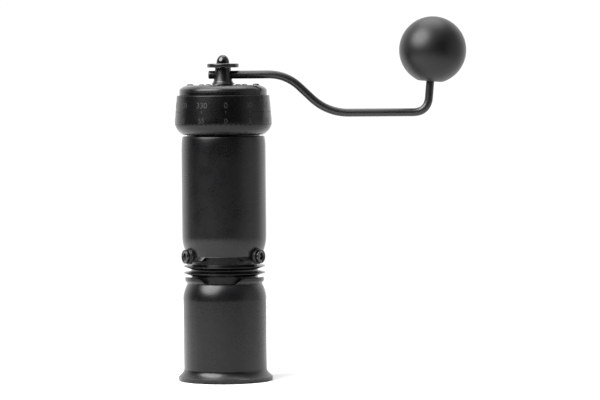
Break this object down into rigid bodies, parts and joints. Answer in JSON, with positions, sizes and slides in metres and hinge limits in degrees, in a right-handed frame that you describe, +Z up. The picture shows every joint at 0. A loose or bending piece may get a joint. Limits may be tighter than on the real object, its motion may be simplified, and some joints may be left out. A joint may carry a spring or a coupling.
{
  "type": "hand crank coffee grinder",
  "caption": "Hand coffee grinder: catch cup, finned burr neck, body with hopper, turning grind dial, lift-off lid and bent crank with a ball knob.",
  "frame": {"origin": "centre of the base pad's underside, on the table, under the grinder's axis", "axes": "+Z up along the grinder's axis, +X towards the crank arm, -Y towards the front notch of the collars"},
  "size_m": [0.175, 0.0578, 0.2176],
  "materials": {
    "powder_coat": "fine-grained matte powder coat",
    "dial_coat": "smooth satin anodised",
    "lid_plastic": "satin moulded",
    "screw_black": "glossy black oxide",
    "ferrule_black": "satin black",
    "crank_coat": "semi-gloss black",
    "polished_black": "polished black nickel",
    "knob_coat": "soft-touch matte",
    "black_bridge": "black anodised",
    "steel": "ground",
    "burr_steel": "hardened",
    "bronze": "bearing bronze",
    "rubber": "moulded"
  },
  "bodies": {
    "cup": {"catch_cup": "powder_coat", "base_pad": "rubber"},
    "grinder": {"body_shell": "powder_coat", "burr_carrier": "powder_coat", "cup_seal_ring": "rubber", "outer_burr": "burr_steel", "burr_lock_ring": "steel", "lower_bridge": "black_bridge", "spindle_bush": "bronze", "bridge_clip": "steel", "preload_spring": "steel", "dial_snap_ring": "steel", "click_ring": "steel", "bolt_ferrule_1": "ferrule_black", "bolt_ferrule_2": "ferrule_black", "bolt_ferrule_3": "ferrule_black", "collar_bolt_1": "screw_black", "collar_bolt_2": "screw_black", "collar_bolt_3": "screw_black"},
    "dial": {"adjusting_dial": "dial_coat", "detent_ball": "steel", "detent_spring": "steel"},
    "carriage": {"top_bridge": "black_bridge", "outer_race": "steel", "bearing_clip": "steel", "thread_lug_1": "bronze", "thread_lug_2": "bronze", "thread_lug_3": "bronze"},
    "spindle": {"spindle": "steel", "inner_race": "steel", "ball_cage": "bronze", "spindle_clip": "steel", "spring_collar": "steel", "inner_burr": "burr_steel", "burr_washer": "steel", "burr_screw": "steel"},
    "lid": {"hopper_lid": "lid_plastic", "lid_seal": "rubber", "lid_screw_1": "screw_black", "lid_screw_2": "screw_black", "lid_screw_3": "screw_black", "lid_screw_4": "screw_black"},
    "crank": {"crank_hub": "crank_coat", "crank_arm": "crank_coat", "hub_flange": "crank_coat", "crown_nut": "polished_black", "hub_stud": "steel", "knob_screw": "steel"},
    "knob": {"knob": "knob_coat", "knob_sleeve": "bronze"}
  },
  "joints": [
    {"name": "grinder_lift", "type": "slide", "parent": "cup", "child": "grinder", "axis": [0, 0, 1], "range_m": [0, 0.05]},
    {"name": "dial_turn", "type": "hinge", "parent": "grinder", "child": "dial", "pos_m": [0, 0, 0.16], "axis": [0, 0, 1], "range_deg": [-150, 150]},
    {"name": "carriage_slide", "type": "slide", "parent": "grinder", "child": "carriage", "axis": [0, 0, 1], "range_m": [-0.00042, 0.00042], "deforming": ["preload_spring"]},
    {"name": "spindle_spin", "type": "hinge", "parent": "carriage", "child": "spindle", "pos_m": [0, 0, 0.12], "axis": [0, 0, 1], "continuous": true},
    {"name": "crank_lift", "type": "slide", "parent": "spindle", "child": "crank", "axis": [0, 0, 1], "range_m": [0, 0.03]},
    {"name": "lid_lift", "type": "slide", "parent": "dial", "child": "lid", "axis": [0, 0, 1], "range_m": [0, 0.03]},
    {"name": "knob_spin", "type": "hinge", "parent": "crank", "child": "knob", "pos_m": [0.1258, 0, 0.1976], "axis": [0.0837, 0, 0.9965], "continuous": true}
  ],
  "couplings": [
    {"joint": "carriage_slide", "follows": "dial_turn", "m_per_rad": -0.00015915},
    {"joint": "lid_lift", "follows": "crank_lift", "ratio": 1}
  ]
}
